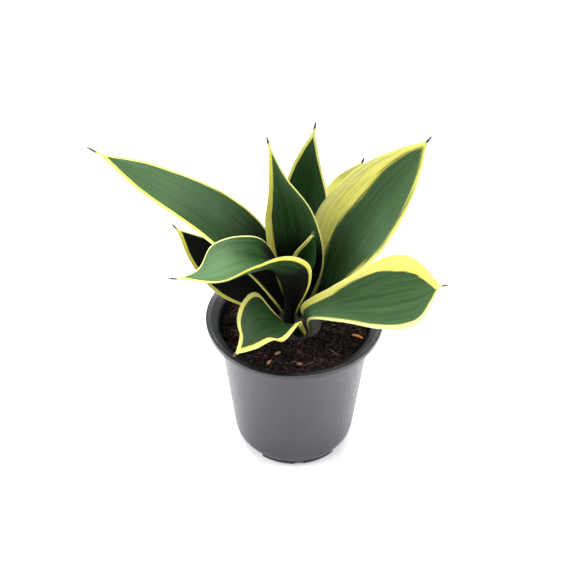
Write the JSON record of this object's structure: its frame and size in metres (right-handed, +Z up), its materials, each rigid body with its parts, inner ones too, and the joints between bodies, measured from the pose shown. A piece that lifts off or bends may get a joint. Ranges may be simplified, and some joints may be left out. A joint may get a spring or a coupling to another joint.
{
  "type": "potted snake plant",
  "caption": "Variegated snake plant with broad yellow-edged leaves in a round dark grey plastic nursery pot of potting soil.",
  "frame": {"origin": "on the pot's axis, at the bottom of the boss under the base, on the surface that the pot stands on", "axes": "+Z up along the pot's axis, -Y towards the plant's front, +X to the right seen from the front"},
  "size_m": [0.1985, 0.1113, 0.2051],
  "materials": {
    "pot_plastic": "satin",
    "soil": "rough, loose",
    "rhizome_skin": "matte",
    "leaf": "satin, waxy",
    "bark": "matte"
  },
  "bodies": {
    "root": {"nursery_pot": "pot_plastic", "potting_soil": "soil", "rhizome": "rhizome_skin", "leaf_left_long": "leaf", "leaf_left_shaded": "leaf", "leaf_front_curled": "leaf", "leaf_center_upright": "leaf", "leaf_back_upright": "leaf", "leaf_back_right": "leaf", "leaf_right_broad": "leaf", "leaf_right_low": "leaf", "leaf_front_small": "leaf", "leaf_young_center": "leaf", "bark_chip_orange": "bark", "bark_chip_tan": "bark", "bark_chip_red": "bark", "bark_chip_brown": "bark"}
  },
  "joints": []
}
